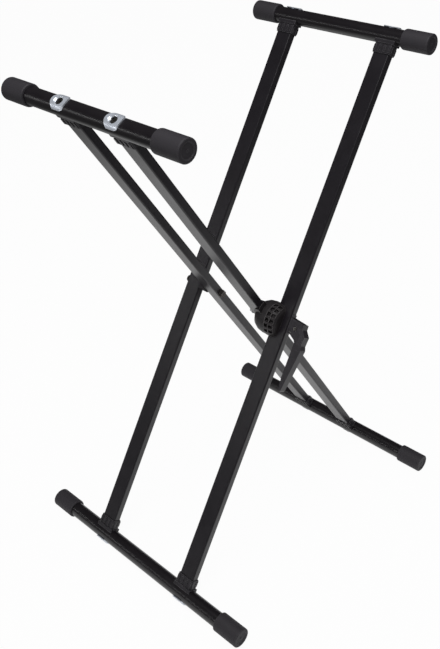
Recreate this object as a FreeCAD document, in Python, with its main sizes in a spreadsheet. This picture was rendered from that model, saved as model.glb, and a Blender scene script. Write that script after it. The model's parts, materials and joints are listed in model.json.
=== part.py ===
import FreeCAD, Part
import os
import re

import Sketcher

# Folding keyboard stand, in millimetres.
#
# Two frames cross like an X. The outer frame runs from the front foot bar to the rear top bar, and the
# inner frame from the rear foot bar to the front top bar. Each frame is two rectangular leg tubes screwed
# to two round bars. On the left a bolt is the pivot. On the right the pivot is a toothed clutch, and a
# lever on the outer leg pulls its disc out of mesh through a rod.
#
# X runs along the bars (the clutch is at +X), Y runs to the rear, Z is up. The origin is on the floor,
# below the pivot.

SIZES = {
    # round bars and the shape of the X
    "bar_diameter": 30.0,
    "bar_wall": 1.5,
    "bar_rise": 940.0,
    "half_spread": 300.0,
    "top_bar_overall": 404.6,
    "foot_bar_overall": 532.6,
    # end caps
    "cap_wall": 3.85,
    "cap_length": 55.5,
    "cap_end": 5.0,
    "cap_round": 2.2,
    "cap_rim_width": 5.85,
    "cap_dish_depth": 1.2,
    "cap_nib_diameter": 5.0,
    # leg tubes
    "leg_width": 34.0,
    "leg_depth": 16.0,
    "leg_wall": 1.5,
    "leg_corner": 2.5,
    "leg_gap": 4.0,
    "inner_leg_offset": 62.4,
    # collars between legs and bars
    "collar_side_wall": 1.95,
    "collar_face_wall": 1.65,
    "collar_overlap": 15.8,
    "collar_corner": 3.0,
    "collar_foot_step": 1.6,
    "collar_foot_height": 1.6,
    "rib_width": 4.0,
    "rib_spacing": 10.4,
    "rib_height": 1.4,
    "side_rib_height": 0.6,
    "rib_inset": 2.8,
    # saddle washers, bar screws and the plugs they go into
    "washer_diameter": 33.0,
    "washer_thickness": 2.5,
    "washer_wrap": 4.8,
    "short_washer_wrap": 0.8,
    "cup_diameter": 15.4,
    "cup_mouth": 18.4,
    "cup_mouth_depth": 2.4,
    "cup_bore": 12.6,
    "cup_sink": 4.4,
    "cup_floor": 1.2,
    "screw_diameter": 8.0,
    "screw_head_diameter": 12.0,
    "screw_head_height": 2.5,
    "screw_grip": 18.0,
    "socket_across_flats": 5.0,
    "socket_depth": 1.8,
    "plug_length": 20.0,
    # clearances
    "fit": 0.05,
    "clearance_hole": 8.4,
    "running_gap": 0.3,
    "side_play": 0.2,
    # clutch
    "rim_thickness": 7.2,
    "clutch_corner": 12.0,
    "clutch_wrap": 19.5,
    "clutch_floor": 2.5,
    "clutch_lip": 1.2,
    "tooth_floor": 4.6,
    "tooth_height": 2.2,
    "tooth_root_width": 3.2,
    "tooth_crest_width": 1.6,
    "tooth_inner_radius": 14.0,
    "tooth_count": 24.0,
    "dog_radius": 25.0,
    "dog_edge": 1.0,
    "dog_plate": 2.8,
    "peg_diameter": 6.0,
    "peg_circle_radius": 19.0,
    "peg_count": 4.0,
    "pocket_depth": 6.0,
    "pocket_pitch": 20.0,
    "pocket_rib": 3.3,
    "pocket_count": 6.0,
    "pocket_start_angle": 55.0,
    "pocket_row_width": 8.0,
    "first_pocket_row": 1.3,
    "second_pocket_row": 11.2,
    "dome_reach": 22.0,
    "dome_depth": 26.6,
    "dome_drop": 21.9,
    "sleeve_reach": 22.6,
    "sleeve_half_height": 44.0,
    "sleeve_wall": 2.5,
    "rim_step": 0.6,
    # pull rod
    "rod_diameter": 8.0,
    "release_travel": 2.5,
    "rod_end": 22.2,
    "rod_collar_diameter": 12.0,
    "rod_collar_width": 2.0,
    "spring_wire": 1.5,
    "spring_diameter": 12.0,
    "spring_turns": 4.0,
    "washer_plate": 1.6,
    "nut_width": 5.0,
    "nut_diameter": 14.0,
    "bush_diameter": 12.0,
    "bush_bore": 8.2,
    # left pivot
    "spacer_diameter": 21.0,
    "bolt_head_diameter": 14.0,
    "bolt_head_height": 6.2,
    "bolt_head_round": 3.1,
    "pivot_washer_diameter": 16.0,
    # lever, measured outwards from the leg's outer face and upwards from the pivot axis
    "lever_width": 16.6,
    "lever_wall": 1.6,
    "lever_arm_step": 0.3,
    "lever_heel": 1.5,
    "lever_top": 16.7,
    "lever_brow": 32.3,
    "lever_brow_height": 13.5,
    "lever_waist": 32.8,
    "lever_waist_height": 4.4,
    "lever_knuckle": 42.1,
    "lever_knuckle_height": 6.8,
    "lever_throat": 41.0,
    "lever_throat_height": 24.0,
    "lever_shoulder": 43.9,
    "lever_shoulder_height": 31.5,
    "lever_step_height": 34.5,
    "lever_end": 33.4,
    "lever_end_height": 115.0,
    "lever_tip_height": 118.0,
    "lever_grip": 25.0,
    "lever_heel_height": 12.4,
    "cheek_corner": 22.0,
    "cheek_corner_height": 19.0,
    "cheek_start_height": 23.3,
    "ridge_spacing": 3.4,
    "ridge_width": 1.5,
    "ridge_height": 0.3,
    "hinge_pin_diameter": 4.0,
    "hinge_pin_reach": 8.7,
    "hinge_pin_drop": 9.0,
    "cross_pin_diameter": 4.0,
    "cross_pin_reach": 16.9,
    "cross_pin_head_diameter": 7.0,
    "cross_pin_head_height": 0.8,
    "cross_slot_play": 0.15,
    "cross_slot_rise": 3.2,
    # lever bracket
    "bracket_plate": 2.0,
    "bracket_width": 12.8,
    "bracket_top": 22.0,
    "bracket_drop": 13.0,
    "ear_thickness": 1.5,
    "ear_radius": 3.6,
}

# Sizes that follow from the ones above.
HALF_LEG = "sqrt(half_spread ^ 2 + (bar_rise / 2) ^ 2)"
LEAN = "atan(2 * half_spread / bar_rise)"
CAP_RADIUS = "(bar_diameter / 2 + cap_wall)"
FOOT_HEIGHT = CAP_RADIUS
TOP_HEIGHT = "%s + bar_rise" % CAP_RADIUS
PIVOT_HEIGHT = "%s + bar_rise / 2" % CAP_RADIUS
LEG_START = "(bar_diameter / 2 + leg_gap)"
COLLAR_WIDTH = "(leg_width + 2 * fit + 2 * collar_side_wall)"
COLLAR_DEPTH = "(leg_depth + 2 * fit + 2 * collar_face_wall)"
COLLAR_REACH = "(%s + collar_overlap)" % LEG_START
CUP_FLOOR_HEIGHT = "(bar_diameter / 2 - cup_sink)"
WRAP_HEIGHT = "(bar_diameter / 2 - washer_wrap)"
SHORT_WRAP_HEIGHT = "(bar_diameter / 2 - short_washer_wrap)"
STACK = "tooth_floor + 2 * tooth_height + 2 * running_gap + dog_plate + release_travel + clutch_floor"
OUTER_LEG_OFFSET = "(inner_leg_offset + leg_width + %s)" % STACK
LEG_FACE = "(%s + leg_width / 2)" % OUTER_LEG_OFFSET
SEAT = "(%s - leg_width / 2)" % OUTER_LEG_OFFSET
INNER_FACE = "(inner_leg_offset + leg_width / 2)"
INNER_BACK = "(inner_leg_offset - leg_width / 2)"
TOOTH_ROOT = "(%s + tooth_floor)" % INNER_FACE
DOG_CREST = "(%s + tooth_height + running_gap)" % TOOTH_ROOT
DOG_FACE = "(%s + tooth_height)" % DOG_CREST
DOG_BACK = "(%s + dog_plate)" % DOG_FACE
RECESS_RADIUS = "(dog_radius + dog_edge)"
CLUTCH_RADIUS = "(%s + rim_thickness)" % RECESS_RADIUS
TOOTH_OUTER_RADIUS = "(dog_radius - dog_edge)"
FLOOR = "(%s - clutch_floor)" % SEAT
OUTER_LIP = "(%s - clutch_lip)" % FLOOR
INNER_LIP = "(%s - running_gap)" % OUTER_LIP
HINGE_X = "(%s + hinge_pin_reach)" % LEG_FACE
CROSS_X = "(%s + cross_pin_reach)" % LEG_FACE
ROD_TIP = "(%s + rod_end)" % LEG_FACE
ROD_START = "(%s - release_travel - running_gap - washer_plate - nut_width)" % INNER_BACK

DOCUMENT = FreeCAD.newDocument("KeyboardStand")
SHEET = DOCUMENT.addObject("Spreadsheet::Sheet", "Sizes")
for row, (alias, value) in enumerate(SIZES.items(), start=1):
    SHEET.set("A%d" % row, str(value))
    SHEET.setAlias("A%d" % row, alias)
DOCUMENT.recompute()

NAMES = re.compile(r"\b(%s)\b" % "|".join(SIZES))


def bound(expression):
    """The expression with every size name pointing at the sheet."""
    return NAMES.sub(r"Sizes.\1", expression)


def size(expression):
    """The value of an expression over the sheet."""
    value = SHEET.evalExpression(bound(expression))
    return float(getattr(value, "Value", value))


# --- frames of reference ---------------------------------------------------------------------------
# A frame is turned about X. Its own Z runs along a leg, and its own Y is square to the leg's wide face.
# In a rail's frame Z points from the leg towards the bar's outer side.

FRAMES = {
    "outer_leg": (-1, LEAN, "0", PIVOT_HEIGHT),
    "inner_leg": (1, LEAN, "0", PIVOT_HEIGHT),
    "rear_top": (-1, LEAN, "half_spread", TOP_HEIGHT),
    "front_top": (1, LEAN, "-half_spread", TOP_HEIGHT),
    "front_foot": (1, "180 deg - %s" % LEAN, "-half_spread", FOOT_HEIGHT),
    "rear_foot": (-1, "180 deg - %s" % LEAN, "half_spread", FOOT_HEIGHT),
}


def new_body(label, frame, x="0"):
    """An empty body placed in one of the frames, x along the bars."""
    turn, angle, y, z = FRAMES[frame]
    body = DOCUMENT.addObject("PartDesign::Body", label)
    body.Label = label
    body.AllowCompound = True
    body.Placement.Rotation = FreeCAD.Rotation(FreeCAD.Vector(turn, 0, 0), 1.0)
    body.setExpression("Placement.Rotation.Angle", bound(angle))
    body.setExpression("Placement.Base.x", bound(x))
    body.setExpression("Placement.Base.y", bound(y))
    body.setExpression("Placement.Base.z", bound(z))
    return body


# --- sketches --------------------------------------------------------------------------------------


def origin_feature(body, role):
    """A plane or axis of the body's own origin."""
    return next(item for item in body.Origin.OriginFeatures if item.Role == role)


def bind(sketch, kind, *reference, expression):
    """Add a dimension whose value comes from the sheet."""
    index = sketch.addConstraint(Sketcher.Constraint(kind, *reference, size(expression)))
    sketch.setExpression("Constraints[%d]" % index, bound(expression))


def new_sketch(body, plane, height):
    """A sketch on one of the origin planes, moved along that plane's normal."""
    sketch = body.newObject("Sketcher::SketchObject", body.Label + "_sketch")
    sketch.AttachmentSupport = (origin_feature(body, plane), [""])
    sketch.MapMode = "FlatFace"
    sketch.setExpression("AttachmentOffset.Base.z", bound(height))
    return sketch


def polygon(sketch, corners):
    """A closed outline through corners given as pairs of expressions."""
    points = [FreeCAD.Vector(size(u), size(v), 0) for u, v in corners]
    first = sketch.GeometryCount
    last = first + len(points) - 1
    for index, point in enumerate(points):
        sketch.addGeometry(Part.LineSegment(point, points[(index + 1) % len(points)]))
    for line in range(first, last + 1):
        following = first if line == last else line + 1
        sketch.addConstraint(Sketcher.Constraint("Coincident", line, 2, following, 1))
    for line, (u, v) in enumerate(corners, start=first):
        bind(sketch, "DistanceX", -1, 1, line, 1, expression=u)
        bind(sketch, "DistanceY", -1, 1, line, 1, expression=v)


def rectangle(sketch, left, right, bottom, top):
    """An upright rectangle between four expressions."""
    polygon(sketch, [(left, bottom), (right, bottom), (right, top), (left, top)])


def centred_rectangle(sketch, width, height, u="0"):
    """A rectangle centred on the sketch's own horizontal line."""
    rectangle(
        sketch,
        "%s - %s / 2" % (u, width),
        "%s + %s / 2" % (u, width),
        "-%s / 2" % height,
        "%s / 2" % height,
    )


def circle(sketch, diameter, u="0", v="0"):
    """A circle with its centre at (u, v)."""
    centre = FreeCAD.Vector(size(u), size(v), 0)
    index = sketch.addGeometry(Part.Circle(centre, FreeCAD.Vector(0, 0, 1), size(diameter) / 2))
    bind(sketch, "DistanceX", -1, 1, index, 3, expression=u)
    bind(sketch, "DistanceY", -1, 1, index, 3, expression=v)
    bind(sketch, "Diameter", index, expression=diameter)


def round_rim(end, inward, outer, depth, drop, flats=3):
    """Corners of a rim rounded in flats, from the end face out to the side; inward is +1 or -1 along X."""
    turns = [90.0 - 90.0 * flat / flats for flat in range(flats + 1)]
    return [
        (
            "%s + %d * (%s) * (1 - sin(%.1f deg))" % (end, inward, depth, turn),
            "%s - (%s) * (1 - cos(%.1f deg))" % (outer, drop, turn),
        )
        for turn in turns
    ]


# --- features --------------------------------------------------------------------------------------


def add_feature(body, kind, **properties):
    """A feature at the end of the body's history."""
    feature = body.newObject("PartDesign::" + kind, body.Label + "_" + kind.lower())
    for name, value in properties.items():
        setattr(feature, name, value)
    body.Tip = feature
    return feature


def extrude(body, plane, start, end, *shapes, cut=False):
    """Pad or pocket between two heights above a plane; each shape is a drawing function and its values."""
    sketch = new_sketch(body, plane, "(%s + %s) / 2" % (start, end))
    for draw, *values in shapes:
        draw(sketch, *values)
    feature = add_feature(body, "Pocket" if cut else "Pad", Profile=sketch)
    feature.SideType = "Symmetric"
    feature.setExpression("Length", bound("%s - (%s)" % (end, start)))
    return feature


def revolve(body, corners):
    """A solid of revolution about X from an outline in the XZ plane."""
    sketch = new_sketch(body, "XZ_Plane", "0")
    polygon(sketch, corners)
    return add_feature(body, "Revolution", Profile=sketch, ReferenceAxis=(sketch, ["H_Axis"]), Angle=360.0)


def countersink(body, corners, x):
    """A groove turned about the upright line at x, from an outline in the XZ plane."""
    sketch = new_sketch(body, "XZ_Plane", "0")
    sketch.setExpression("AttachmentOffset.Base.x", bound(x))
    polygon(sketch, corners)
    return add_feature(body, "Groove", Profile=sketch, ReferenceAxis=(sketch, ["V_Axis"]), Angle=360.0)


def round_edges(body, radius, chosen, kind="Fillet"):
    """Round or chamfer the edges of the body so far for which chosen(edge) holds."""
    DOCUMENT.recompute()
    tip = body.Tip
    names = ["Edge%d" % n for n, edge in enumerate(tip.Shape.Edges, start=1) if chosen(edge)]
    feature = add_feature(body, kind, Base=(tip, names))
    feature.setExpression("Radius" if kind == "Fillet" else "Size", bound(radius))
    return feature


def mirror(body, features, plane):
    """Repeat features on the other side of one of the origin planes."""
    return add_feature(body, "Mirrored", Originals=features, MirrorPlane=(origin_feature(body, plane), [""]))


def turn_round_x(body, features, count, sweep="360"):
    """Repeat features round the X axis: over the full turn, or with the last at the end of the sweep."""
    feature = add_feature(
        body, "PolarPattern", Originals=features, Axis=(origin_feature(body, "X_Axis"), [""])
    )
    feature.setExpression("Angle", bound(sweep))
    feature.setExpression("Occurrences", bound(count))
    return feature


def along(axis, span=None):
    """A test for straight edges parallel to an axis, with the span if one is given."""

    def chosen(edge):
        if not isinstance(edge.Curve, Part.Line):
            return False
        parallel = edge.Curve.Direction.cross(axis).Length < 1e-6
        return parallel and (span is None or abs(edge.Length - size(span)) < 1e-3)

    return chosen


X_AXIS = FreeCAD.Vector(1, 0, 0)
Z_AXIS = FreeCAD.Vector(0, 0, 1)


# --- rails: bars, caps, collars, washers and screws ----------------------------------------------------


def make_bar(name, frame, overall, leg_offset):
    """A round tube, pierced at each leg for the washer's cup and for the screw."""
    body = new_body(name, frame)
    half = "(%s / 2 - cap_end)" % overall
    extrude(
        body, "YZ_Plane", "-" + half, half, (circle, "bar_diameter"), (circle, "bar_diameter - 2 * bar_wall")
    )
    cup = "cup_diameter + 2 * fit"
    right, left = leg_offset, "-" + leg_offset
    extrude(
        body, "XY_Plane", "0", "bar_diameter", (circle, cup, right), (circle, cup, left), cut=True
    )
    hole = "clearance_hole"
    extrude(
        body, "XY_Plane", "-bar_diameter", "0", (circle, hole, right), (circle, hole, left), cut=True
    )


def make_cap(name, frame, overall, side):
    """A push-on end cap: a cup with rounded rims and a dished end."""
    end = "(%d * %s / 2)" % (side, overall)
    body = new_body(name, frame, end)
    inward = lambda depth: "%d * (%s)" % (-side, depth)
    bore = "bar_diameter / 2 + fit"
    dish = "(%s - cap_rim_width)" % CAP_RADIUS
    outer_rim = round_rim("0", -side, CAP_RADIUS, "cap_round", "cap_round")
    inner_rim = round_rim(inward("cap_length"), side, CAP_RADIUS, "cap_round", "cap_round")
    revolve(
        body,
        [
            (inward("cap_dish_depth / 2"), "0"),
            (inward("cap_dish_depth / 2"), "cap_nib_diameter / 2"),
            (inward("cap_dish_depth"), "cap_nib_diameter / 2"),
            (inward("cap_dish_depth"), dish + " - cap_dish_depth"),
            (inward("0"), dish),
        ]
        + outer_rim
        + inner_rim[::-1]
        + [
            (inward("cap_length"), bore),
            (inward("cap_end"), bore),
            (inward("cap_end"), "0"),
        ],
    )


def collar_rib(sketch, x, half_width, bottom, top):
    """The outline of one upright rib with a narrowed top."""
    left, right = "%s - %s" % (x, half_width), "%s + %s" % (x, half_width)
    shoulder = "%s - %s" % (top, half_width)
    polygon(
        sketch,
        [
            (left, bottom),
            (right, bottom),
            (right, shoulder),
            ("%s + %s / 2" % (x, half_width), top),
            ("%s - %s / 2" % (x, half_width), top),
            (left, shoulder),
        ],
    )


def make_collar(name, frame, x):
    """A collar with a saddle for the bar, a socket for the leg and round-topped ribs on all four sides."""
    body = new_body(name, frame, x)
    block = (centred_rectangle, COLLAR_WIDTH, COLLAR_DEPTH)
    extrude(body, "XY_Plane", "-" + COLLAR_REACH, "-bar_diameter / 4", block)
    round_edges(body, "collar_corner", along(Z_AXIS))
    foot_top = "(-bar_diameter / 2 - collar_foot_height)"
    foot = (
        centred_rectangle, "(%s + 2 * collar_foot_step)" % COLLAR_WIDTH, "(%s + 2 * collar_foot_step)" % COLLAR_DEPTH
    )
    extrude(body, "XY_Plane", foot_top, "-bar_diameter / 4", foot)
    half_face = "(%s / 2 + rib_height)" % COLLAR_DEPTH
    bottom, top = "(rib_inset - %s)" % COLLAR_REACH, "(-%s - 0.5)" % LEG_START
    face_ribs = [
        (collar_rib, "(%s * rib_spacing)" % step, "(rib_width / 2)", bottom, top) for step in (-1.5, -0.5, 0.5, 1.5)
    ]
    extrude(body, "XZ_Plane", "-" + half_face, half_face, *face_ribs)
    half_side = "(%s / 2 + side_rib_height)" % COLLAR_WIDTH
    side_ribs = [
        (collar_rib, "(%s * rib_spacing)" % step, "(rib_width / 2)", bottom, top) for step in (-0.45, 0.45)
    ]
    extrude(body, "YZ_Plane", "-" + half_side, half_side, *side_ribs)
    saddle = "bar_diameter + 2 * fit"
    extrude(body, "YZ_Plane", "-" + COLLAR_WIDTH, COLLAR_WIDTH, (circle, saddle), cut=True)
    hole = (circle, "clearance_hole")
    extrude(body, "XY_Plane", "-" + COLLAR_REACH, "0", hole, cut=True)
    socket = (centred_rectangle, "(leg_width + 2 * fit)", "(leg_depth + 2 * fit)")
    extrude(body, "XY_Plane", "-" + COLLAR_REACH, "-" + LEG_START, socket, cut=True)


def make_washers(name, frame, leg_offset, wrap_height):
    """Saddle washers on one bar: a disc bent over the bar with a sunk cup for the screw's head."""
    body = new_body(name, frame)
    start = "(%s - washer_diameter / 2)" % leg_offset
    end = "(%s + washer_diameter / 2)" % leg_offset
    outside = "(bar_diameter + 2 * washer_thickness)"
    bent = extrude(
        body, "YZ_Plane", start, end, (circle, outside), (circle, "bar_diameter + 2 * fit")
    )
    below = extrude(
        body, "XY_Plane", "-bar_diameter", wrap_height,
        (centred_rectangle, "(2 * washer_diameter)", "(2 * washer_diameter)", leg_offset), cut=True,
    )  # fmt: skip
    round_off = extrude(
        body, "XY_Plane", "0", "bar_diameter",
        (centred_rectangle, "(2 * washer_diameter)", "(2 * washer_diameter)", leg_offset),
        (circle, "washer_diameter", leg_offset), cut=True,
    )  # fmt: skip
    crown = "(bar_diameter / 2 + washer_thickness)"
    under = "(%s - cup_floor)" % CUP_FLOOR_HEIGHT
    neck = "(%s - cup_mouth_depth)" % crown
    cup = extrude(body, "XY_Plane", under, crown + " - 0.5", (circle, "cup_diameter", leg_offset))
    mouth = countersink(
        body,
        [
            ("0", CUP_FLOOR_HEIGHT),
            ("cup_bore / 2", CUP_FLOOR_HEIGHT),
            ("cup_bore / 2", neck),
            ("cup_mouth / 2 - 0.7", crown + " - 0.7"),
            ("cup_mouth / 2 + 0.3", crown + " + 0.1"),
            ("0", crown + " + 0.1"),
        ],
        leg_offset,
    )
    hole = extrude(
        body, "XY_Plane", under + " - 1", CUP_FLOOR_HEIGHT + " + 1", (circle, "clearance_hole", leg_offset), cut=True
    )
    mirror(body, [bent, below, round_off, cup, mouth, hole], "YZ_Plane")


def make_screws(name, frame, leg_offset):
    """The hexagon-socket screws of one bar, each from its washer's cup down into the leg's plug."""
    body = new_body(name, frame)
    head_top = "(%s + screw_head_height)" % CUP_FLOOR_HEIGHT
    shank_end = "(-%s - screw_grip)" % LEG_START
    flat = "socket_across_flats"
    hexagon = [
        ("%s + %s / sqrt(3) * cos(%d deg)" % (leg_offset, flat, turn), "%s / sqrt(3) * sin(%d deg)" % (flat, turn))
        for turn in range(0, 360, 60)
    ]
    shank = extrude(body, "XY_Plane", shank_end, CUP_FLOOR_HEIGHT, (circle, "screw_diameter", leg_offset))
    head = extrude(
        body, "XY_Plane", CUP_FLOOR_HEIGHT, head_top, (circle, "screw_head_diameter", leg_offset)
    )
    socket = extrude(
        body, "XY_Plane", "%s - socket_depth" % head_top, "%s + 1" % head_top, (polygon, hexagon), cut=True
    )
    mirror(body, [shank, head, socket], "YZ_Plane")


def make_rail(name, frame, overall, leg_offset, wrap_height):
    """A bar with everything that is fastened to it."""
    make_bar(name + "_bar", frame, overall, leg_offset)
    for side, word in ((-1, "left"), (1, "right")):
        make_cap("%s_cap_%s" % (name, word), frame, overall, side)
        make_collar("%s_collar_%s" % (name, word), frame, "%d * %s" % (side, leg_offset))
    make_washers(name + "_washers", frame, leg_offset, wrap_height)
    make_screws(name + "_screws", frame, leg_offset)


make_rail("front_foot", "front_foot", "foot_bar_overall", OUTER_LEG_OFFSET, WRAP_HEIGHT)
make_rail("rear_foot", "rear_foot", "foot_bar_overall", "inner_leg_offset", WRAP_HEIGHT)
make_rail("front_top", "front_top", "top_bar_overall", "inner_leg_offset", WRAP_HEIGHT)
make_rail("rear_top", "rear_top", "top_bar_overall", OUTER_LEG_OFFSET, SHORT_WRAP_HEIGHT)


# --- legs and what is inside them ------------------------------------------------------------------


def make_leg(name, frame, x, inward_hole, outward_hole):
    """A rectangular tube with a hole in each narrow wall at the pivot; inward is towards the middle."""
    body = new_body(name, frame, x)
    half = "(%s - %s)" % (HALF_LEG, LEG_START)
    extrude(body, "XY_Plane", "-" + half, half, (centred_rectangle, "leg_width", "leg_depth"))
    round_edges(body, "leg_corner", along(Z_AXIS))
    inside = (centred_rectangle, "(leg_width - 2 * leg_wall)", "(leg_depth - 2 * leg_wall)")
    extrude(body, "XY_Plane", "-" + half, half, inside, cut=True)
    inward = 1 if x.startswith("-") else -1
    for direction, hole in ((inward, inward_hole), (-inward, outward_hole)):
        ends = sorted(["0", "%d * leg_width" % direction], key=size)
        extrude(body, "YZ_Plane", ends[0], ends[1], (circle, hole), cut=True)


def make_plugs(name, frame, x):
    """The tapped blocks inside the two ends of a leg."""
    body = new_body(name, frame, x)
    end = "(%s - %s - 2 * fit)" % (HALF_LEG, LEG_START)
    start = "(%s - %s - plug_length)" % (HALF_LEG, LEG_START)
    block = extrude(
        body, "XY_Plane", start, end,
        (centred_rectangle, "(leg_width - 2 * leg_wall - 2 * fit)", "(leg_depth - 2 * leg_wall - 2 * fit)"),
        (circle, "screw_diameter + 2 * fit"),
    )  # fmt: skip
    mirror(body, [block], "XY_Plane")


def make_ring(name, frame, start, end, outside, bore):
    """A plain ring round the pivot axis."""
    body = new_body(name, frame)
    extrude(body, "YZ_Plane", start, end, (circle, outside), (circle, bore))


SNUG_BUSH = "bush_diameter + 2 * fit"
make_leg("outer_leg_right", "outer_leg", OUTER_LEG_OFFSET, "rod_collar_diameter + 1", "clearance_hole")
make_leg("outer_leg_left", "outer_leg", "-" + OUTER_LEG_OFFSET, "clearance_hole", "clearance_hole")
make_leg("inner_leg_right", "inner_leg", "inner_leg_offset", SNUG_BUSH, SNUG_BUSH)
make_leg("inner_leg_left", "inner_leg", "-inner_leg_offset", SNUG_BUSH, SNUG_BUSH)
make_plugs("outer_leg_right_plugs", "outer_leg", OUTER_LEG_OFFSET)
make_plugs("outer_leg_left_plugs", "outer_leg", "-" + OUTER_LEG_OFFSET)
make_plugs("inner_leg_right_plugs", "inner_leg", "inner_leg_offset")
make_plugs("inner_leg_left_plugs", "inner_leg", "-inner_leg_offset")
make_ring("right_bush", "inner_leg", INNER_BACK, INNER_FACE, "bush_diameter", "bush_bore")
make_ring("left_bush", "inner_leg", "-" + INNER_FACE, "-" + INNER_BACK, "bush_diameter", "bush_bore")


# --- left pivot --------------------------------------------------------------------------------------


def make_pivot_bolt():
    """A bolt with a low round head outside the outer leg, its end inside the nut."""
    body = new_body("pivot_bolt", "outer_leg")
    end = "(-%s + side_play + washer_plate + nut_width)" % INNER_BACK
    head_start = "(-%s - bolt_head_height)" % LEG_FACE
    head = round_rim(head_start, 1, "bolt_head_diameter / 2", "bolt_head_round", "bolt_head_round")
    revolve(
        body,
        [(head_start, "0")]
        + head
        + [
            ("-" + LEG_FACE, "bolt_head_diameter / 2"),
            ("-" + LEG_FACE, "rod_diameter / 2"),
            (end, "rod_diameter / 2"),
            (end, "0"),
        ],
    )


def make_nut(name, start):
    """A hexagon nut on the pivot axis, from start along +X."""
    body = new_body(name, "outer_leg")
    corners = [
        ("nut_diameter / 2 * cos(%d deg)" % turn, "nut_diameter / 2 * sin(%d deg)" % turn)
        for turn in range(0, 360, 60)
    ]
    hole = (circle, "rod_diameter + 2 * fit")
    extrude(body, "YZ_Plane", start, "(%s + nut_width)" % start, (polygon, corners), hole)


make_pivot_bolt()
make_ring(
    "leg_spacer", "outer_leg", "-" + SEAT, "(-%s - side_play)" % INNER_FACE, "spacer_diameter", "bush_bore"
)
make_ring(
    "pivot_sleeve", "outer_leg", "(-%s + leg_wall)" % LEG_FACE, "(-%s - leg_wall)" % SEAT,
    "bush_diameter", "bush_bore",
)  # fmt: skip
PIVOT_WASHER = "(-%s + side_play)" % INNER_BACK
make_ring(
    "pivot_washer", "outer_leg", PIVOT_WASHER, "%s + washer_plate" % PIVOT_WASHER,
    "pivot_washer_diameter", "bush_bore",
)  # fmt: skip
make_nut("pivot_nut", "(%s + washer_plate)" % PIVOT_WASHER)


# --- toothed clutch ------------------------------------------------------------------------------------


def add_teeth(body, root, height, count="tooth_count"):
    """A ring of radial teeth with sloping flanks, standing from the plane x = root."""
    crest = "(%s + (%s))" % (root, height)
    wide, narrow = "tooth_root_width / 2", "tooth_crest_width / 2"
    tooth = extrude(
        body, "XY_Plane", "tooth_inner_radius", TOOTH_OUTER_RADIUS,
        (polygon, [(root, "-" + wide), (root, wide), (crest, narrow), (crest, "-" + narrow)]),
    )  # fmt: skip
    turn_round_x(body, [tooth], count)


def turned(radius, offset, angle):
    """A point in the YZ plane at a radius and a sideways offset, turned from the leg's front face upwards."""
    return (
        "(%s) * sin(%s) - (%s) * cos(%s)" % (offset, angle, radius, angle),
        "(%s) * sin(%s) + (%s) * cos(%s)" % (radius, angle, offset, angle),
    )


def cut_pockets(body, angle, rows):
    """Rim pockets with ribs of even thickness between them, in rows along X, over one side of the drum."""
    floor_radius = "(%s - pocket_depth)" % CLUTCH_RADIUS
    top_radius = "(%s + pocket_rib)" % CLUTCH_RADIUS
    corners = []
    for radius, side in ((floor_radius, 1), (top_radius, 1), (top_radius, -1), (floor_radius, -1)):
        offset = "%d * (%s * tan(pocket_pitch / 2 * 1 deg) - pocket_rib / 2)" % (side, radius)
        corners.append(turned(radius, offset, "(%s)" % angle))
    cuts = [extrude(body, "YZ_Plane", start, end, (polygon, corners), cut=True) for start, end in rows]
    turn_round_x(body, cuts, "pocket_count", "(pocket_count - 1) * pocket_pitch")


def make_clutch_outer_half():
    """The half seated over the outer leg: a rounded drum with two rows of rim pockets and four pegs."""
    body = new_body("clutch_outer_half", "outer_leg")
    back = "(%s + clutch_wrap)" % SEAT
    corner = round_rim(back, -1, CLUTCH_RADIUS, "clutch_corner", "clutch_corner", 4)
    revolve(
        body,
        [
            (FLOOR, "0"),
            (FLOOR, RECESS_RADIUS),
            (OUTER_LIP, RECESS_RADIUS),
            (OUTER_LIP, CLUTCH_RADIUS),
        ]
        + corner[::-1]
        + [(back, "0")],
    )
    rows = []
    for row in ("first_pocket_row", "second_pocket_row"):
        start = "(%s + %s)" % (OUTER_LIP, row)
        rows.append((start, start + " + pocket_row_width"))
    for half_turn in (0, 180):
        cut_pockets(body, "(pocket_start_angle + %d) * 1 deg" % half_turn, rows)
    slot = (centred_rectangle, "(2 * clutch_wrap)", "(3 * %s)" % CLUTCH_RADIUS, "(%s + clutch_wrap)" % SEAT)
    half_slot = "(leg_depth / 2 + fit)"
    extrude(body, "XZ_Plane", "-" + half_slot, half_slot, slot, cut=True)
    peg_start = "(%s + 0.5)" % DOG_FACE
    peg = extrude(body, "YZ_Plane", peg_start, FLOOR, (circle, "peg_diameter", "0", "peg_circle_radius"))
    turn_round_x(body, [peg], "peg_count")
    extrude(body, "YZ_Plane", peg_start, SEAT, (circle, "clearance_hole"), cut=True)


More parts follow.
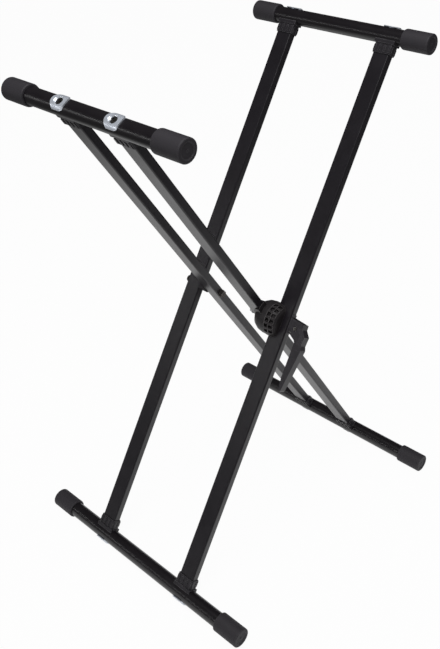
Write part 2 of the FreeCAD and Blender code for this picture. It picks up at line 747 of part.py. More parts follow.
def make_clutch_inner_half():
    """The half seated over the inner leg: a dome drawn down to a sleeve along the leg, and a ring of teeth."""
    body = new_body("clutch_inner_half", "inner_leg")
    back = "(%s - dome_reach)" % INNER_FACE
    rim = "(%s - rim_step)" % CLUTCH_RADIUS
    revolve(
        body,
        [(back, "0")]
        + round_rim(back, 1, rim, "dome_depth", "dome_drop", 4)
        + [
            (INNER_LIP, rim),
            (INNER_LIP, RECESS_RADIUS),
            (TOOTH_ROOT, RECESS_RADIUS),
            (TOOTH_ROOT, "0"),
        ],
    )
    sleeve_end = "(%s + tooth_floor / 2)" % INNER_FACE
    sleeve_depth = "(sleeve_reach + tooth_floor / 2)"
    outline = [
        (
            "%s - %s * cos(%.1f deg)" % (sleeve_end, sleeve_depth, turn),
            "sleeve_half_height * sin(%.1f deg)" % turn,
        )
        for turn in (-90.0, -67.5, -45.0, -22.5, 22.5, 45.0, 67.5, 90.0)
    ]
    half_sleeve = "(leg_depth / 2 + sleeve_wall)"
    extrude(body, "XZ_Plane", "-" + half_sleeve, half_sleeve, (polygon, outline))
    slot = (
        centred_rectangle, "(2 * leg_width)", "(3 * sleeve_half_height)", "(%s - leg_width)" % INNER_FACE
    )
    half_slot = "(leg_depth / 2 + fit)"
    extrude(body, "XZ_Plane", "-" + half_slot, half_slot, slot, cut=True)
    add_teeth(body, TOOTH_ROOT, "tooth_height")
    extrude(body, "YZ_Plane", INNER_FACE, TOOTH_ROOT, (circle, "clearance_hole + 1"), cut=True)


def make_clutch_dog():
    """The sliding disc: teeth towards the inner half, holes for the outer half's pegs."""
    body = new_body("clutch_dog", "outer_leg")
    extrude(body, "YZ_Plane", DOG_FACE, DOG_BACK, (circle, "2 * dog_radius"))
    add_teeth(body, DOG_FACE, "-tooth_height")
    extrude(body, "YZ_Plane", DOG_CREST, DOG_BACK, (circle, "rod_diameter + 2 * fit"), cut=True)
    hole_size = "peg_diameter + 2 * running_gap"
    hole = extrude(
        body, "YZ_Plane", DOG_CREST + " - 1", DOG_BACK + " + 1", (circle, hole_size, "0", "peg_circle_radius"),
        cut=True,
    )  # fmt: skip
    turn_round_x(body, [hole], "peg_count")


make_clutch_outer_half()
make_clutch_inner_half()
make_clutch_dog()


# --- pull rod ------------------------------------------------------------------------------------------


def make_rod():
    """The rod along the pivot axis, drilled for the lever's cross pin."""
    body = new_body("release_rod", "outer_leg")
    extrude(body, "YZ_Plane", ROD_START, ROD_TIP, (circle, "rod_diameter"))
    half = "rod_diameter / 2"
    hole = (circle, "cross_pin_diameter + 2 * fit", CROSS_X)
    extrude(body, "XZ_Plane", "-" + half, half, hole, cut=True)


def make_spring():
    """The flat-wire return spring inside the outer leg, as it is when the rod is pulled out."""
    body = new_body("rod_spring", "outer_leg")
    start = "(%s + leg_wall + 1.7 + rod_collar_width + release_travel + running_gap + spring_wire / 2)" % SEAT
    end = "(%s - leg_wall - spring_wire / 2)" % LEG_FACE
    sketch = new_sketch(body, "XZ_Plane", "0")
    left, right = "(%s - spring_wire / 2)" % start, "(%s + spring_wire / 2)" % start
    rectangle(sketch, left, right, "spring_diameter / 2 - spring_wire", "spring_diameter / 2")
    helix = add_feature(body, "AdditiveHelix", Profile=sketch, ReferenceAxis=(sketch, ["H_Axis"]))
    helix.Mode = "height-turns-angle"
    helix.setExpression("Height", bound("%s - %s" % (end, start)))
    helix.setExpression("Turns", bound("spring_turns"))


make_rod()
ROD_COLLAR = "(%s + leg_wall + 1.7)" % SEAT
SNUG_ROD = "rod_diameter + 2 * fit"
make_ring(
    "rod_collar", "outer_leg", ROD_COLLAR, "%s + rod_collar_width" % ROD_COLLAR, "rod_collar_diameter", SNUG_ROD
)
make_spring()
make_nut("rod_nut", ROD_START)
make_ring(
    "rod_washer", "outer_leg", "(%s + nut_width)" % ROD_START, "(%s + nut_width + washer_plate)" % ROD_START,
    "pivot_washer_diameter", SNUG_ROD,
)  # fmt: skip


# --- release lever ---------------------------------------------------------------------------------------


def make_bracket():
    """The plate on the outer leg's face with two ears for the lever's hinge pin."""
    body = new_body("lever_bracket", "outer_leg")
    plate_end = "(%s + bracket_plate)" % LEG_FACE
    half = "(bracket_width / 2)"
    plate = (rectangle, LEG_FACE, plate_end, "-bracket_drop", "bracket_top")
    extrude(body, "XZ_Plane", "-" + half, half, plate)
    ear = [
        (plate_end, "-bracket_drop"),
        (HINGE_X, "-hinge_pin_drop - ear_radius"),
        (HINGE_X, "-hinge_pin_drop + ear_radius"),
        (plate_end, "0"),
    ]
    inside = "(%s - ear_thickness)" % half
    parts = [
        extrude(body, "XZ_Plane", inside, half, (polygon, ear)),
        extrude(body, "XZ_Plane", inside, half, (circle, "2 * ear_radius", HINGE_X, "-hinge_pin_drop")),
    ]
    mirror(body, parts, "XZ_Plane")
    extrude(body, "YZ_Plane", LEG_FACE, plate_end, (circle, "clearance_hole"), cut=True)
    pin = (circle, "hinge_pin_diameter + 2 * fit", HINGE_X, "-hinge_pin_drop")
    extrude(body, "XZ_Plane", "-" + half, half, pin, cut=True)


def out(reach):
    """An X value measured outwards from the leg's outer face."""
    return "(%s + %s)" % (LEG_FACE, reach)


def make_lever():
    """The squeeze lever: a channel, open towards the leg, with a deep head over the pivot and a tapering arm."""
    body = new_body("release_lever", "outer_leg")
    back = [
        (out("lever_brow"), "lever_brow_height"),
        (out("lever_waist"), "lever_waist_height"),
        (out("lever_knuckle"), "-lever_knuckle_height"),
        (out("lever_throat"), "-lever_throat_height"),
        (out("lever_shoulder"), "-lever_shoulder_height"),
        (out("lever_shoulder"), "-lever_step_height"),
        (out("lever_end"), "-lever_end_height"),
    ]
    front = [
        (out("(lever_end - 2)"), "-lever_tip_height"),
        (out("(lever_grip + 3)"), "-lever_end_height + 4"),
        (out("lever_grip"), "-0.8 * lever_end_height"),
        (out("lever_grip"), "-cheek_start_height"),
        (out("cheek_corner"), "-cheek_corner_height"),
        (out("(hinge_pin_reach + 2)"), "-lever_heel_height - 0.4"),
        (out("lever_heel"), "-lever_heel_height"),
        (out("lever_heel"), "lever_top"),
    ]
    outside = "(lever_width / 2)"
    extrude(body, "XZ_Plane", "-" + outside, outside, (polygon, back + front))
    low = "(%s - lever_wall)" % outside
    web = "lever_wall"
    hollow = [
        (out("(lever_brow - %s)" % web), "lever_top + 1"),
        (out("(lever_waist - %s - 0.2)" % web), "lever_waist_height - 0.5"),
        (out("(lever_knuckle - %s - 0.6)" % web), "-lever_knuckle_height - 0.6"),
        (out("(lever_throat - %s)" % web), "-lever_throat_height"),
        (out("(lever_shoulder - %s)" % web), "-lever_shoulder_height"),
        (out("(lever_end - %s)" % web), "-lever_end_height + 2"),
        (out("0"), "-lever_end_height + 2"),
        (out("0"), "lever_top + 1"),
    ]
    extrude(body, "XZ_Plane", "-" + low, low, (polygon, hollow), cut=True)
    for ridge in (1, 2, 3):
        far, near = "%d * ridge_spacing" % ridge, "%d * ridge_spacing + ridge_width" % ridge
        band = [
            (out("(lever_waist - %s)" % far), "lever_waist_height"),
            (out("(lever_knuckle - %s)" % far), "-lever_knuckle_height"),
            (out("(lever_throat - %s)" % far), "-lever_throat_height"),
            (out("(lever_throat - %s)" % near), "-lever_throat_height"),
            (out("(lever_knuckle - %s)" % near), "-lever_knuckle_height"),
            (out("(lever_waist - %s)" % near), "lever_waist_height"),
        ]
        raised = "(%s + ridge_height)" % outside
        parts = [extrude(body, "XZ_Plane", outside, raised, (polygon, band))]
        mirror(body, parts, "XZ_Plane")
    arm = (
        rectangle, out("0"), out("(2 * lever_shoulder)"), "-2 * lever_tip_height", "-lever_step_height",
    )  # fmt: skip
    step = extrude(body, "XZ_Plane", "%s - lever_arm_step" % outside, outside + " + 1", arm, cut=True)
    mirror(body, [step], "XZ_Plane")
    pin = (circle, "hinge_pin_diameter + 2 * fit", HINGE_X, "-hinge_pin_drop")
    extrude(body, "XZ_Plane", "-" + outside, outside, pin, cut=True)
    half_slot = "(cross_pin_diameter / 2 + cross_slot_play)"
    slot_left, slot_right = "(%s - %s)" % (CROSS_X, half_slot), "(%s + %s)" % (CROSS_X, half_slot)
    slot = (rectangle, slot_left, slot_right, "-" + half_slot, "cross_slot_rise + " + half_slot)
    extrude(body, "XZ_Plane", "-" + outside, outside, slot, cut=True)


def make_pin(name, x, z, diameter, length):
    """A plain pin across the lever."""
    body = new_body(name, "outer_leg")
    half = "(%s / 2)" % length
    extrude(body, "XZ_Plane", "-" + half, half, (circle, diameter, x, z))
    return body


def make_cross_pin():
    """The rod's cross pin, with a low head outside each cheek of the lever."""
    head_start = "(lever_width / 2 + side_play)"
    body = make_pin("rod_cross_pin", CROSS_X, "0", "cross_pin_diameter", "(2 * %s)" % head_start)
    head_end = "(%s + cross_pin_head_height)" % head_start
    head = extrude(body, "XZ_Plane", head_start, head_end, (circle, "cross_pin_head_diameter", CROSS_X))
    mirror(body, [head], "XZ_Plane")


make_bracket()
make_lever()
make_pin("lever_hinge_pin", HINGE_X, "-hinge_pin_drop", "hinge_pin_diameter", "lever_width")
make_cross_pin()


# --- checks and export ---------------------------------------------------------------------------------


def export_bodies():
    """Check every body and write each to its own file."""
    DOCUMENT.recompute()
    for item in DOCUMENT.Objects:
        if {"Invalid", "Error"} & set(item.State):
            raise RuntimeError("%s: %s" % (item.Name, item.State))
    os.makedirs("parts", exist_ok=True)
    for body in DOCUMENT.findObjects("PartDesign::Body"):
        shape = body.Shape
        if shape.isNull() or not shape.isValid() or not shape.Solids:
            raise RuntimeError("%s has no valid solid" % body.Label)
        shape.exportStep(os.path.join("parts", body.Label + ".step"))
        print("%-24s %2d solid(s) %12.1f mm3" % (body.Label, len(shape.Solids), shape.Volume))


export_bodies()
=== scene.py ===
"""Looks, studio and camera for a folding keyboard stand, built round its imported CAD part."""

import json
import logging
import math
from dataclasses import dataclass, field
from enum import Enum
from typing import Any, Optional, Union

import bmesh
import bpy
from mathutils import Matrix, Vector


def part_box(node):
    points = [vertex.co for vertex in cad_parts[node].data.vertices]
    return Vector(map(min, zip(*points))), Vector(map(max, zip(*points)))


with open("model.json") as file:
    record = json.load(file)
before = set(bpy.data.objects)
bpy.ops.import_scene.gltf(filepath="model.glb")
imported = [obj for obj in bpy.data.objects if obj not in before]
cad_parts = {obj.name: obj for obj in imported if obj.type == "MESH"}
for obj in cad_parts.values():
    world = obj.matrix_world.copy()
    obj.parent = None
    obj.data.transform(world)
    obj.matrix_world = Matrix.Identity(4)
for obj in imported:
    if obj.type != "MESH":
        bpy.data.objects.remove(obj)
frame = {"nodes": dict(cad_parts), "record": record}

log = logging.getLogger("keyboard_stand")

Colour = tuple[float, float, float]
WHITE = (1.0, 1.0, 1.0, 1.0)
EDGE_GAIN = 8.0
WORN_DARK_STEEL = (0.3, 0.29, 0.28)


def centre(node: str) -> Vector:
    """The middle of a CAD node's box."""
    low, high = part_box(node)
    return (low + high) / 2


PIVOT_HEIGHT = frame["record"]["behaviour"]["joints"][0]["pos_m"][2]
TOP_BAR = centre("front_top_bar")
FOOT_BAR = centre("rear_foot_bar")
LEG_LEAN = math.atan2(FOOT_BAR.y - TOP_BAR.y, TOP_BAR.z - FOOT_BAR.z)
INNER_LEG_OFFSET = centre("inner_leg_right").x
OUTER_LEG_OFFSET = centre("outer_leg_right").x


# --- shader expressions ---------------------------------------------------------------


class Value:
    """A socket that does arithmetic: every operation adds a Math node to its graph."""

    def __init__(self, graph: "Graph", socket: bpy.types.NodeSocket) -> None:
        """Wrap a socket of a graph."""
        self.graph = graph
        self.socket = socket

    def math(self, operation: str, *others: Union["Value", float], first: bool = True) -> "Value":
        """Combine this value with others.

        Args:
            operation: The Math node's operation.
            others: Further operands, values or numbers.
            first: Whether this value is the first operand, or the last.

        Returns:
            The result as a value.
        """
        operands = [self, *others] if first else [*others, self]
        return self.graph.node("Math", {"operation": operation}, dict(enumerate(operands)))

    def __add__(self, other: Union["Value", float]) -> "Value":
        """Sum."""
        return self.math("ADD", other)

    __radd__ = __add__

    def __sub__(self, other: Union["Value", float]) -> "Value":
        """Difference."""
        return self.math("SUBTRACT", other)

    def __rsub__(self, other: Union["Value", float]) -> "Value":
        """Difference with this value taken away."""
        return self.math("SUBTRACT", other, first=False)

    def __mul__(self, other: Union["Value", float]) -> "Value":
        """Product."""
        return self.math("MULTIPLY", other)

    __rmul__ = __mul__

    def __truediv__(self, other: Union["Value", float]) -> "Value":
        """Quotient."""
        return self.math("DIVIDE", other)

    def __pow__(self, other: Union["Value", float]) -> "Value":
        """Power."""
        return self.math("POWER", other)

    def clamp(self) -> "Value":
        """This value kept between 0 and 1."""
        return self.math("MAXIMUM", 0.0).math("MINIMUM", 1.0)


class Graph:
    """A material's or world's node tree, filled by calls that return values."""

    def __init__(self, tree: bpy.types.NodeTree) -> None:
        """Start from an empty tree."""
        self.tree = tree
        tree.nodes.clear()

    def node(
        self,
        kind: str,
        settings: Optional[dict[str, Any]] = None,
        inputs: Optional[dict[Union[str, int], Any]] = None,
        output: Union[str, int] = 0,
    ) -> Value:
        """Add a node.

        Args:
            kind: The node's type without its ShaderNode prefix.
            settings: Properties of the node, set before its sockets.
            inputs: Socket names or numbers, with values or links.
            output: The output socket to return.

        Returns:
            That output as a value, or the first input of a node that has no outputs.
        """
        made = self.tree.nodes.new("ShaderNode" + kind)
        for name, setting in (settings or {}).items():
            setattr(made, name, setting)
        for name, given in (inputs or {}).items():
            if isinstance(given, Value):
                self.tree.links.new(given.socket, made.inputs[name])
            else:
                made.inputs[name].default_value = given
        return Value(self, made.outputs[output] if len(made.outputs) else made.inputs[0])

    def coordinates(self) -> Value:
        """Object coordinates, in metres of the stand's own frame."""
        return self.node("TexCoord", output="Object")

    def noise(self, scale: float, detail: float = 2.0) -> Value:
        """A noise pattern on object coordinates.

        Args:
            scale: Features per metre.
            detail: Octaves.

        Returns:
            The noise, from 0 to 1.
        """
        place = self.coordinates()
        return self.node("TexNoise", inputs={"Vector": place, "Scale": scale, "Detail": detail})

    def mix(self, factor: Value, low: Colour, high: Colour) -> Value:
        """A colour between two colours."""
        sockets = {0: factor, 6: (*low, 1.0), 7: (*high, 1.0)}
        return self.node("Mix", {"data_type": "RGBA"}, sockets, output=2)

    def edges(self, radius: float) -> Value:
        """Find where the surface turns sharply outward or inward.

        Args:
            radius: How far from an edge it is felt, in metres.

        Returns:
            1 at an edge, 0 on a plain face.
        """
        soft = self.node("Bevel", inputs={"Radius": radius})
        plain = self.node("NewGeometry", output="Normal")
        dot = {"operation": "DOT_PRODUCT"}
        along = self.node("VectorMath", dot, {0: soft, 1: plain}, output="Value")
        return ((1.0 - along) * EDGE_GAIN).clamp()

    def blend(self, factor: Value, low: Colour, high: Value) -> Value:
        """A colour between a plain colour and a colour that varies."""
        sockets = {0: factor, 6: (*low, 1.0), 7: high}
        return self.node("Mix", {"data_type": "RGBA"}, sockets, output=2)

    def parts(self) -> tuple[Value, Value, Value]:
        """Split the object coordinates.

        Returns:
            Each of the three by itself.
        """
        split = self.tree.nodes.new("ShaderNodeSeparateXYZ")
        self.tree.links.new(self.coordinates().socket, split.inputs[0])
        return tuple(Value(self, end) for end in split.outputs)

    def bump(self, height: Value, strength: float, distance: float) -> Value:
        """A bump normal from a height."""
        sockets = {"Height": height, "Strength": strength, "Distance": distance}
        return self.node("Bump", inputs=sockets)

    def ray(self, kind: str) -> Value:
        """Whether a ray is of one kind: 1 or 0."""
        return self.node("LightPath", output=kind)

    def surface(self, shader: Value) -> None:
        """Join a shader to the material's output."""
        self.node("OutputMaterial", inputs={"Surface": shader})


# --- finishes -------------------------------------------------------------------------


@dataclass(frozen=True)
class Finish:
    """What every finish has: a name, two colours to vary between, and a range of roughness."""

    name: str
    dark: Colour
    light: Colour
    smooth: float
    rough: float

    def graph(self) -> tuple[bpy.types.Material, Graph]:
        """Start a new material.

        Returns:
            The material and its empty graph.
        """
        material = bpy.data.materials.new(self.name)
        material.use_nodes = True
        return material, Graph(material.node_tree)


@dataclass(frozen=True)
class PowderCoat(Finish):
    """Satin black powder coat with fine orange peel, handling marks and lighter rubbed edges."""

    peel_scale: float = 420.0
    peel_height: float = 0.00003
    peel_strength: float = 0.5
    sheen: float = 0.5
    worn: Colour = (0.045, 0.042, 0.046)
    worn_radius: float = 0.0012
    marks_scale: float = 38.0
    rubbed_scale: float = 9.0
    marks_share: float = 0.6
    worn_roughness: float = 0.08
    worn_gain: float = 1.6
    worn_floor: float = 0.3

    def material(self) -> bpy.types.Material:
        """Make the finish.

        Returns:
            The finish as a material.
        """
        material, graph = self.graph()
        marks = graph.noise(self.marks_scale, 4.0)
        peel = graph.noise(self.peel_scale, 2.0)
        rubbed = graph.noise(self.rubbed_scale, 3.0)
        wear = graph.edges(self.worn_radius) * (marks * self.worn_gain - self.worn_floor).clamp()
        patches = marks * self.marks_share + rubbed * (1.0 - self.marks_share)
        roughness = self.smooth + (self.rough - self.smooth) * patches
        paint = graph.mix(marks, self.dark, self.light)
        shader = graph.node(
            "BsdfPrincipled",
            inputs={
                "Base Color": graph.blend(1.0 - wear, self.worn, paint),
                "Roughness": roughness + wear * self.worn_roughness,
                "Specular IOR Level": self.sheen,
                "Normal": graph.bump(peel, self.peel_strength, self.peel_height),
            },
        )
        graph.surface(shader)
        return material


@dataclass(frozen=True)
class MouldedPlastic(Finish):
    """Moulded plastic with a spark-eroded grain, slight flow marks and edges polished by hands."""

    grain_scale: float = 1500.0
    grain_height: float = 0.00006
    grain_strength: float = 0.6
    sheen: float = 0.4
    worn: Colour = (0.055, 0.052, 0.056)
    worn_radius: float = 0.0010
    flow_scale: float = 55.0
    flow_share: float = 0.7
    worn_gloss: float = 0.12
    worn_gain: float = 1.4

    def material(self) -> bpy.types.Material:
        """Make the finish.

        Returns:
            The finish as a material.
        """
        material, graph = self.graph()
        grain = graph.noise(self.grain_scale, 3.0)
        flow = graph.noise(self.flow_scale, 2.0)
        wear = graph.edges(self.worn_radius) * (flow * self.worn_gain).clamp()
        shade = flow * self.flow_share + grain * (1.0 - self.flow_share)
        body = graph.mix(shade, self.dark, self.light)
        roughness = self.smooth + (self.rough - self.smooth) * (grain * 0.5 + flow * 0.5)
        shader = graph.node(
            "BsdfPrincipled",
            inputs={
                "Base Color": graph.blend(1.0 - wear, self.worn, body),
                "Roughness": roughness - wear * self.worn_gloss,
                "Specular IOR Level": self.sheen,
                "Normal": graph.bump(grain, self.grain_strength, self.grain_height),
            },
        )
        graph.surface(shader)
        return material


@dataclass(frozen=True)
class Metal(Finish):
    """Plated or bare metal with a fine grain, cloudy roughness and edges polished bright."""

    metallic: float = 1.0
    worn: Colour = (0.70, 0.70, 0.72)
    worn_radius: float = 0.0008
    worn_gloss: float = 0.06
    worn_gain: float = 1.5
    cloud_scale: float = 160.0
    grain_scale: float = 900.0
    grain_height: float = 0.00003
    grain_strength: float = 0.4

    def base(self, graph: Graph, cloud: Value) -> Value:
        """The metal's colour."""
        return graph.mix(cloud, self.dark, self.light)

    def material(self) -> bpy.types.Material:
        """Make the finish.

        Returns:
            The finish as a material.
        """
        material, graph = self.graph()
        cloud = graph.noise(self.cloud_scale, 3.0)
        grain = graph.noise(self.grain_scale, 2.0)
        wear = graph.edges(self.worn_radius) * (cloud * self.worn_gain).clamp()
        roughness = self.smooth + (self.rough - self.smooth) * cloud
        shader = graph.node(
            "BsdfPrincipled",
            inputs={
                "Base Color": graph.blend(1.0 - wear, self.worn, self.base(graph, cloud)),
                "Metallic": self.metallic,
                "Roughness": roughness - wear * self.worn_gloss,
                "Normal": graph.bump(grain, self.grain_strength, self.grain_height),
            },
        )
        graph.surface(shader)
        return material


@dataclass(frozen=True)
class CupMetal(Metal):
    """Plated saddle washers: bright outside, with painted shade, a near-black colour in place of
    the shadow, in the cup round the screw.
    """

    leg_offset: float = 0.0
    leans_back: bool = True
    bore: float = 0.0066
    blur: float = 0.0012
    # painted shade: the near-black colour given to the cup round the screw in place of its shadow
    shade: Colour = (0.03, 0.028, 0.026)

    def base(self, graph: Graph, cloud: Value) -> Value:
        """The plate's colour, with painted shade: dark within the bore's radius of the screw's
        axis, where the cup's shadow falls.

        Args:
            graph: The material's graph.
            cloud: The noise that the plate's two colours follow.

        Returns:
            The colour.
        """
        across, along, up = graph.parts()
        side = math.cos(LEG_LEAN) if self.leans_back else -math.cos(LEG_LEAN)
        beside = across.math("ABSOLUTE") - self.leg_offset
        off = along * side - (up - PIVOT_HEIGHT) * math.sin(LEG_LEAN)
        radius = (beside * beside + off * off) ** 0.5
        # painted shade: near black inside the cup, blending to the plate's colour outside the bore
        outside = ((radius - self.bore) / self.blur + 0.5).clamp()
        return graph.blend(outside, self.shade, graph.mix(cloud, self.dark, self.light))


def zinc(name: str, leg_offset: float, leans_back: bool) -> CupMetal:
    """The bright zinc of the washers on one frame, with painted shade in the cups round the screws.

    Args:
        name: The material's name.
        leg_offset: How far the frame's legs stand from the middle.
        leans_back: Whether the legs lean back as they rise.

    Returns:
        The finish.
    """
    return CupMetal(
        name,
        dark=(0.66, 0.70, 0.78),
        light=(0.80, 0.85, 0.94),
        smooth=0.26,
        rough=0.40,
        metallic=0.55,
        worn=(0.95, 0.97, 1.0),
        worn_radius=0.0012,
        leg_offset=leg_offset,
        leans_back=leans_back,
    )


class Coat(Enum):
    """The stand's finishes."""

    BAR = PowderCoat(
        "bar_paint",
        (0.0070, 0.0056, 0.0072),
        (0.0125, 0.0104, 0.0130),
        0.27,
        0.33,
        peel_height=0.000004,
    )
    LEG = PowderCoat("leg_paint", (0.0088, 0.0072, 0.0098), (0.0148, 0.0125, 0.0165), 0.30, 0.42)
    LEVER = PowderCoat(
        "lever_paint",
        (0.0140, 0.0116, 0.0154),
        (0.0220, 0.0190, 0.0244),
        0.34,
        0.46,
        worn=(0.10, 0.095, 0.105),
    )
    CAP = MouldedPlastic(
        "cap_plastic",
        (0.0250, 0.0222, 0.0272),
        (0.0345, 0.0310, 0.0370),
        0.58,
        0.74,
        worn=(0.10, 0.096, 0.104),
        worn_radius=0.0014,
    )
    COLLAR = MouldedPlastic(
        "collar_plastic",
        (0.0125, 0.0108, 0.0140),
        (0.0210, 0.0182, 0.0232),
        0.40,
        0.55,
        worn=(0.15, 0.144, 0.154),
    )
    CLUTCH = MouldedPlastic(
        "clutch_plastic",
        (0.0150, 0.0126, 0.0138),
        (0.0230, 0.0200, 0.0215),
        0.42,
        0.58,
        worn=(0.16, 0.148, 0.152),
        worn_radius=0.0012,
    )
    SPACER = MouldedPlastic(
        "spacer_plastic", (0.0120, 0.0105, 0.0130), (0.0200, 0.0178, 0.0215), 0.45, 0.6
    )
    BUSH = MouldedPlastic(
        "bush_plastic", (0.40, 0.39, 0.36), (0.50, 0.49, 0.45), 0.45, 0.6, worn=(0.55, 0.54, 0.50)
    )
    # both zinc finishes carry painted shade in the washers' cups round the screws
    INNER_ZINC = zinc("inner_zinc", INNER_LEG_OFFSET, leans_back=False)
    OUTER_ZINC = zinc("outer_zinc", OUTER_LEG_OFFSET, leans_back=True)
    SCREW = Metal(
        "screw_steel", (0.09, 0.086, 0.082), (0.20, 0.19, 0.18), 0.30, 0.45, worn=WORN_DARK_STEEL
    )
    STEEL = Metal("mechanism_steel", (0.42, 0.42, 0.43), (0.55, 0.55, 0.57), 0.30, 0.48)
    PIN = Metal(
        "oiled_pin", (0.05, 0.048, 0.046), (0.11, 0.105, 0.10), 0.16, 0.28, worn=WORN_DARK_STEEL
    )
    PIVOT = Metal(
        "pivot_steel", (0.05, 0.043, 0.04), (0.09, 0.08, 0.075), 0.34, 0.5, worn=WORN_DARK_STEEL
    )


def finish_for(node: str) -> Coat:
    """The finish of a CAD node, found by what it is.

    Args:
        node: The node's name.

    Returns:
        Its finish.
    """
    endings = {
        "_bar": Coat.BAR,
        "rear_foot_washers": Coat.INNER_ZINC,
        "front_top_washers": Coat.INNER_ZINC,
        "_washers": Coat.OUTER_ZINC,
        "_screws": Coat.SCREW,
        "_plugs": Coat.STEEL,
        "_bush": Coat.BUSH,
    }
    for ending, coat in endings.items():
        if node.endswith(ending):
            return coat
    words = {
        "_cap_": Coat.CAP,
        "_collar_": Coat.COLLAR,
        "_leg_": Coat.LEG,
        "clutch_outer": Coat.CLUTCH,
        "clutch_inner": Coat.CLUTCH,
        "spacer": Coat.SPACER,
        "release_lever": Coat.LEVER,
        "lever_bracket": Coat.LEVER,
        "pivot_": Coat.PIVOT,
        "cross_pin": Coat.PIN,
        "hinge_pin": Coat.PIN,
    }
    for word, coat in words.items():
        if word in node:
            return coat
    return Coat.STEEL


class Dresser:
    """Gives CAD nodes their finishes, each finish made once."""

    def __init__(self) -> None:
        """Start with no materials made."""
        self.made: dict[Coat, bpy.types.Material] = {}

    def material(self, coat: Coat) -> bpy.types.Material:
        """The material of a finish, made when it is first asked for.

        Args:
            coat: The finish.

        Returns:
            Its material.
        """
        if coat not in self.made:
            self.made[coat] = coat.value.material()
        return self.made[coat]

    def dress(self, piece: bpy.types.Object, coat: Coat) -> None:
        """Put one finish on a whole piece."""
        piece.data.materials.clear()
        piece.data.materials.append(self.material(coat))

    def dress_nodes(self) -> None:
        """Put its finish on every CAD node."""
        for name, node in frame["nodes"].items():
            coat = finish_for(name)
            for slot in node.material_slots:
                slot.material = self.material(coat)
            if not node.material_slots:
                self.dress(node, coat)
            log.info("%s: %s", name, coat.name.lower())


# --- studio and camera ----------------------------------------------------------------


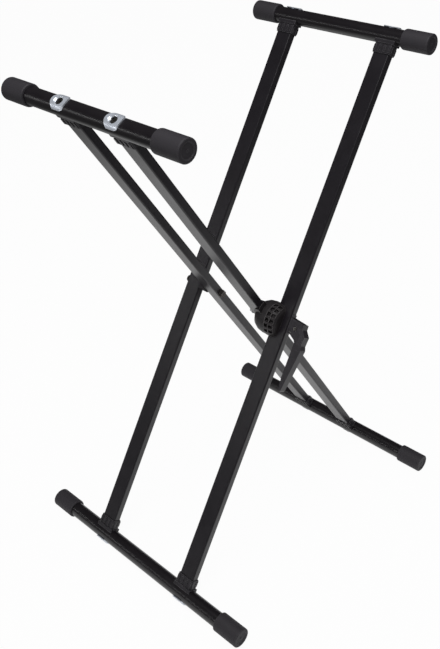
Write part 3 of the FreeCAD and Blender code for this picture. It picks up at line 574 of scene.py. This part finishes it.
@dataclass
class Studio:
    """White floor and surround for the camera, dark room and lit patch of floor for the paint."""

    floor_radius: float = 6.0
    floor_level: float = 0.80
    floor_segments: int = 96
    paper_scale: float = 300.0
    paper_contrast: float = 0.98
    shadow_share: float = 0.035
    patch_radius: float = 1.10
    patch_blur: float = 0.70
    patch_level: float = 0.95
    beyond_level: float = 0.10
    surround_level: float = 0.32
    mirrored_level: float = 0.05
    aim: Vector = field(default_factory=lambda: Vector((0.0, 0.0, 0.45)))
    lamps: tuple[tuple[str, Colour, float, float, float], ...] = (
        ("overhead", (0.5, -0.7, 3.2), 1.6, 1.6, 50.0),
        ("strip", (-1.5, -2.27, 1.28), 3.0, 0.09, 6.5),
    )

    def build(self) -> None:
        """Make the floor, the surround and the lamps."""
        self._floor()
        self._surround()
        for name, place, width, height, power in self.lamps:
            self._lamp(name, Vector(place), width, height, power)

    def _floor(self) -> None:
        """A disc, white to the camera, that keeps the stand's shadow and mirrors bright near it."""
        mesh = bpy.data.meshes.new("floor")
        disc = bmesh.new()
        bmesh.ops.create_circle(
            disc, cap_ends=True, radius=self.floor_radius, segments=self.floor_segments
        )
        disc.to_mesh(mesh)
        disc.free()
        floor = bpy.data.objects.new("floor", mesh)
        bpy.context.scene.collection.objects.link(floor)
        material = bpy.data.materials.new("floor_paper")
        material.use_nodes = True
        graph = Graph(material.node_tree)
        paper = graph.noise(self.paper_scale, 2.0)
        level = self.floor_level
        colour = graph.mix(paper, (level * self.paper_contrast,) * 3, (level,) * 3)
        lit = graph.node("BsdfDiffuse", inputs={"Color": colour})
        away = graph.node(
            "VectorMath", {"operation": "LENGTH"}, {0: graph.coordinates()}, output="Value"
        )
        near = ((self.patch_radius + self.patch_blur / 2 - away) / self.patch_blur).clamp()
        camera = graph.ray("Is Camera Ray")
        mirrored = graph.ray("Is Glossy Ray") + graph.ray("Is Transmission Ray")
        reflected = self.beyond_level + (self.patch_level - self.beyond_level) * near
        shown = graph.node(
            "Emission", inputs={"Color": WHITE, "Strength": camera + mirrored * reflected}
        )
        share = (camera * (1.0 - self.shadow_share) + mirrored).clamp()
        graph.surface(graph.node("MixShader", inputs={0: share, 1: lit, 2: shown}))
        mesh.materials.append(material)

    def _surround(self) -> None:
        """White to the camera, nearly black in reflections, an even grey as light."""
        world = bpy.data.worlds.new("studio")
        bpy.context.scene.world = world
        world.use_nodes = True
        graph = Graph(world.node_tree)
        camera = graph.ray("Is Camera Ray")
        mirrored = (graph.ray("Is Glossy Ray") + graph.ray("Is Transmission Ray")).clamp()
        unseen = self.surround_level + (self.mirrored_level - self.surround_level) * mirrored
        strength = camera + (1.0 - camera) * unseen
        sky = graph.node("Background", inputs={"Color": WHITE, "Strength": strength})
        graph.node("OutputWorld", inputs={"Surface": sky})

    def _lamp(self, name: str, place: Vector, width: float, height: float, power: float) -> None:
        """A soft rectangular lamp that faces the stand.

        Args:
            name: The lamp's name.
            place: Where it hangs.
            width: Its size across.
            height: Its size up and down.
            power: Its power in watts.
        """
        lamp = bpy.data.lights.new(name, "AREA")
        lamp.shape = "RECTANGLE"
        lamp.size = width
        lamp.size_y = height
        lamp.energy = power
        rig = bpy.data.objects.new(name, lamp)
        turn = (self.aim - place).to_track_quat("-Z", "Y").to_matrix().to_4x4()
        rig.matrix_world = Matrix.Translation(place) @ turn
        bpy.context.scene.collection.objects.link(rig)


@dataclass
class Camera:
    """The camera that the photograph was solved for."""

    place: Vector = field(default_factory=lambda: Vector((0.989291, -1.04052, 1.418604)))
    yaw: float = 44.229
    pitch: float = 30.222
    roll: float = -2.18
    focal_pixels: float = 879.349
    centre_x: float = 227.938
    centre_y: float = 260.183
    frame_width: float = 440.0
    frame_height: float = 649.0
    sensor: float = 36.0

    def build(self) -> None:
        """Make the camera and look through it."""
        yaw, pitch, roll = (math.radians(v) for v in (self.yaw, self.pitch, self.roll))
        forward = Vector(
            (-math.sin(yaw) * math.cos(pitch), math.cos(yaw) * math.cos(pitch), -math.sin(pitch))
        )
        level_right = Vector((math.cos(yaw), math.sin(yaw), 0.0))
        level_up = level_right.cross(forward)
        right = level_right * math.cos(roll) + level_up * math.sin(roll)
        up = level_up * math.cos(roll) - level_right * math.sin(roll)
        turn = Matrix((right, up, -forward)).transposed().to_4x4()
        data = bpy.data.cameras.new("photo_camera")
        data.sensor_width = self.sensor
        data.lens = self.focal_pixels * self.sensor / self.frame_height
        data.shift_x = (self.frame_width / 2 - self.centre_x) / self.frame_height
        data.shift_y = (self.centre_y - self.frame_height / 2) / self.frame_height
        data.clip_start = 0.01
        rig = bpy.data.objects.new("photo_camera", data)
        rig.matrix_world = Matrix.Translation(self.place) @ turn
        bpy.context.scene.collection.objects.link(rig)
        bpy.context.scene.camera = rig


# --- assembly -------------------------------------------------------------------------


def main() -> None:
    """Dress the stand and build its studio."""
    logging.basicConfig(level=logging.INFO, format="%(message)s")
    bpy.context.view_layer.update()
    bpy.context.scene.view_settings.view_transform = "Standard"
    Dresser().dress_nodes()
    Studio().build()
    Camera().build()


if __name__ == "__main__":
    main()
